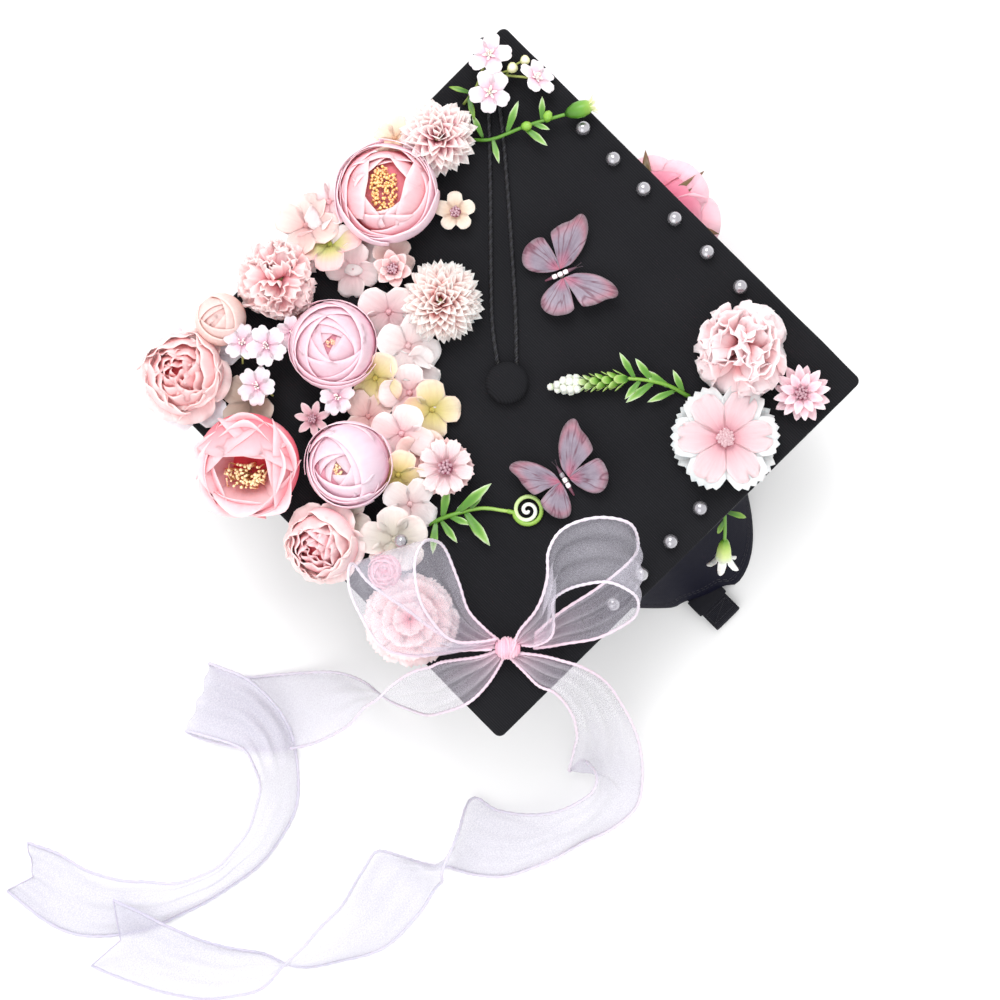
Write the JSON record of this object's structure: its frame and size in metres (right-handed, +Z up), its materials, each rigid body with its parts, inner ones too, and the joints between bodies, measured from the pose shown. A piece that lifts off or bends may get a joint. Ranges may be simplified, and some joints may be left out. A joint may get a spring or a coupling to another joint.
{
  "type": "decorated graduation cap",
  "caption": "Square black graduation cap with soft skull cap, button and tassel, topped with fabric blooms, sprigs, pearls, butterflies and a sheer ribbon bow with long tails.",
  "frame": {"origin": "the point of the rim plane under the middle of the square board", "axes": "+Z up out of the board's top; -Y the forehead side, +Y the rear with the adjuster strap; +X the wearer's left, where the ribbon tails lie"},
  "size_m": [0.4963, 0.3247, 0.1313],
  "materials": {
    "card": "plain card",
    "board_cloth": "black twill, fine diagonal weave",
    "skull_cloth": "smooth blue-black cloth",
    "lining": "plain black lining",
    "webbing": "ribbed black webbing",
    "tassel_thread": "twisted black rayon",
    "organza": "sheer ribbon with corded edges",
    "ribbon_knot": "gathered sheer ribbon",
    "wing_organza": "printed sheer wing",
    "bead": "small clear beads on wire",
    "pearl": "pearl finish",
    "glue": "set hot glue",
    "greenery": "moulded leaves and stems",
    "petal_pink": "pressed cloth petals",
    "petal_rose": "pressed cloth petals",
    "petal_pale": "pressed cloth petals",
    "petal_peach": "pressed cloth petals",
    "petal_cream": "pressed cloth petals",
    "petal_mauve": "pressed cloth petals",
    "petal_grey": "pressed cloth petals"
  },
  "bodies": {
    "cap": {"adjuster_keeper": "webbing", "blossom_mauve": "petal_mauve", "blossom_peach": "petal_peach", "board_bottom_cover": "board_cloth", "board_core": "card", "board_top_cover": "board_cloth", "bow_knot": "ribbon_knot", "bow_loop_left": "organza", "bow_loop_right": "organza", "butterfly_lower_body": "bead", "butterfly_upper_body": "bead", "button": "board_cloth", "carnation_fringed": "petal_pink", "carnation_pink": "petal_rose", "carnation_right": "petal_rose", "cherry_blossoms": "petal_pale", "chrysanthemum_cream": "petal_cream", "cosmos_right": "petal_pale", "crown_lining": "lining", "dahlia_pink": "petal_pink", "daisy_dusty": "petal_mauve", "daisy_mauve": "petal_mauve", "daisy_right": "petal_mauve", "glue_dabs": "glue", "headband": "lining", "hydrangea_grey": "petal_grey", "hydrangea_lower": "petal_cream", "hydrangea_middle": "petal_cream", "hydrangea_upper": "petal_pale", "pearls": "pearl", "peony_open": "petal_pink", "ranunculus_closed": "petal_pale", "ranunculus_open": "petal_pink", "ranunculus_round": "petal_pale", "ribbon_tail_left": "organza", "ribbon_tail_right": "organza", "rose_peach": "petal_peach", "rose_pink": "petal_pink", "rose_side": "petal_rose", "rose_small": "petal_rose", "rosebud_cream": "petal_cream", "skull_panel_front": "skull_cloth", "skull_panel_left": "skull_cloth", "skull_panel_rear": "skull_cloth", "skull_panel_right": "skull_cloth", "sprig_bell": "greenery", "sprig_blossoms": "greenery", "sprig_buds": "greenery", "sprig_fern": "greenery", "sprig_spike": "greenery", "tassel_cord_left": "tassel_thread", "tassel_cord_right": "tassel_thread"},
    "adjuster": {"adjuster_strap": "webbing"},
    "tassel_cord": {"tassel_hanger": "tassel_thread"},
    "tassel": {"tassel_head": "tassel_thread", "tassel_skirt": "tassel_thread"},
    "upper_wing_left": {"butterfly_upper_wing_left": "wing_organza"},
    "upper_wing_right": {"butterfly_upper_wing_right": "wing_organza"},
    "lower_wing_left": {"butterfly_lower_wing_left": "wing_organza"},
    "lower_wing_right": {"butterfly_lower_wing_right": "wing_organza"}
  },
  "joints": [
    {"name": "strap_slide", "type": "slide", "parent": "cap", "child": "adjuster", "axis": [0, 1, 0], "range_m": [-0.012, 0.01]},
    {"name": "tassel_swing", "type": "hinge", "parent": "cap", "child": "tassel_cord", "pos_m": [-0.108, -0.1217, 0.0829], "axis": [-1, 0, 0], "range_deg": [-5, 85]},
    {"name": "tassel_sway", "type": "hinge", "parent": "tassel_cord", "child": "tassel", "pos_m": [-0.108, -0.1227, 0.066], "axis": [0, 1, 0], "range_deg": [-35, 35]},
    {"name": "upper_wing_left_flap", "type": "hinge", "parent": "cap", "child": "upper_wing_left", "pos_m": [-0.05627, -0.01766, 0.0851], "axis": [-0.9311, 0.3649, 0], "range_deg": [-8, 60], "stiffness_Nm_per_rad": 0.0006},
    {"name": "upper_wing_right_flap", "type": "hinge", "parent": "cap", "child": "upper_wing_right", "pos_m": [-0.05473, -0.01374, 0.0851], "axis": [0.9311, -0.3649, 0], "range_deg": [-8, 60], "stiffness_Nm_per_rad": 0.0006},
    {"name": "lower_wing_left_flap", "type": "hinge", "parent": "cap", "child": "lower_wing_left", "pos_m": [0.01404, 0.05499, 0.0851], "axis": [-0.2419, -0.9703, 0], "range_deg": [-8, 60], "stiffness_Nm_per_rad": 0.0006},
    {"name": "lower_wing_right_flap", "type": "hinge", "parent": "cap", "child": "lower_wing_right", "pos_m": [0.00996, 0.05601, 0.0851], "axis": [0.2419, 0.9703, 0], "range_deg": [-8, 60], "stiffness_Nm_per_rad": 0.0006}
  ]
}
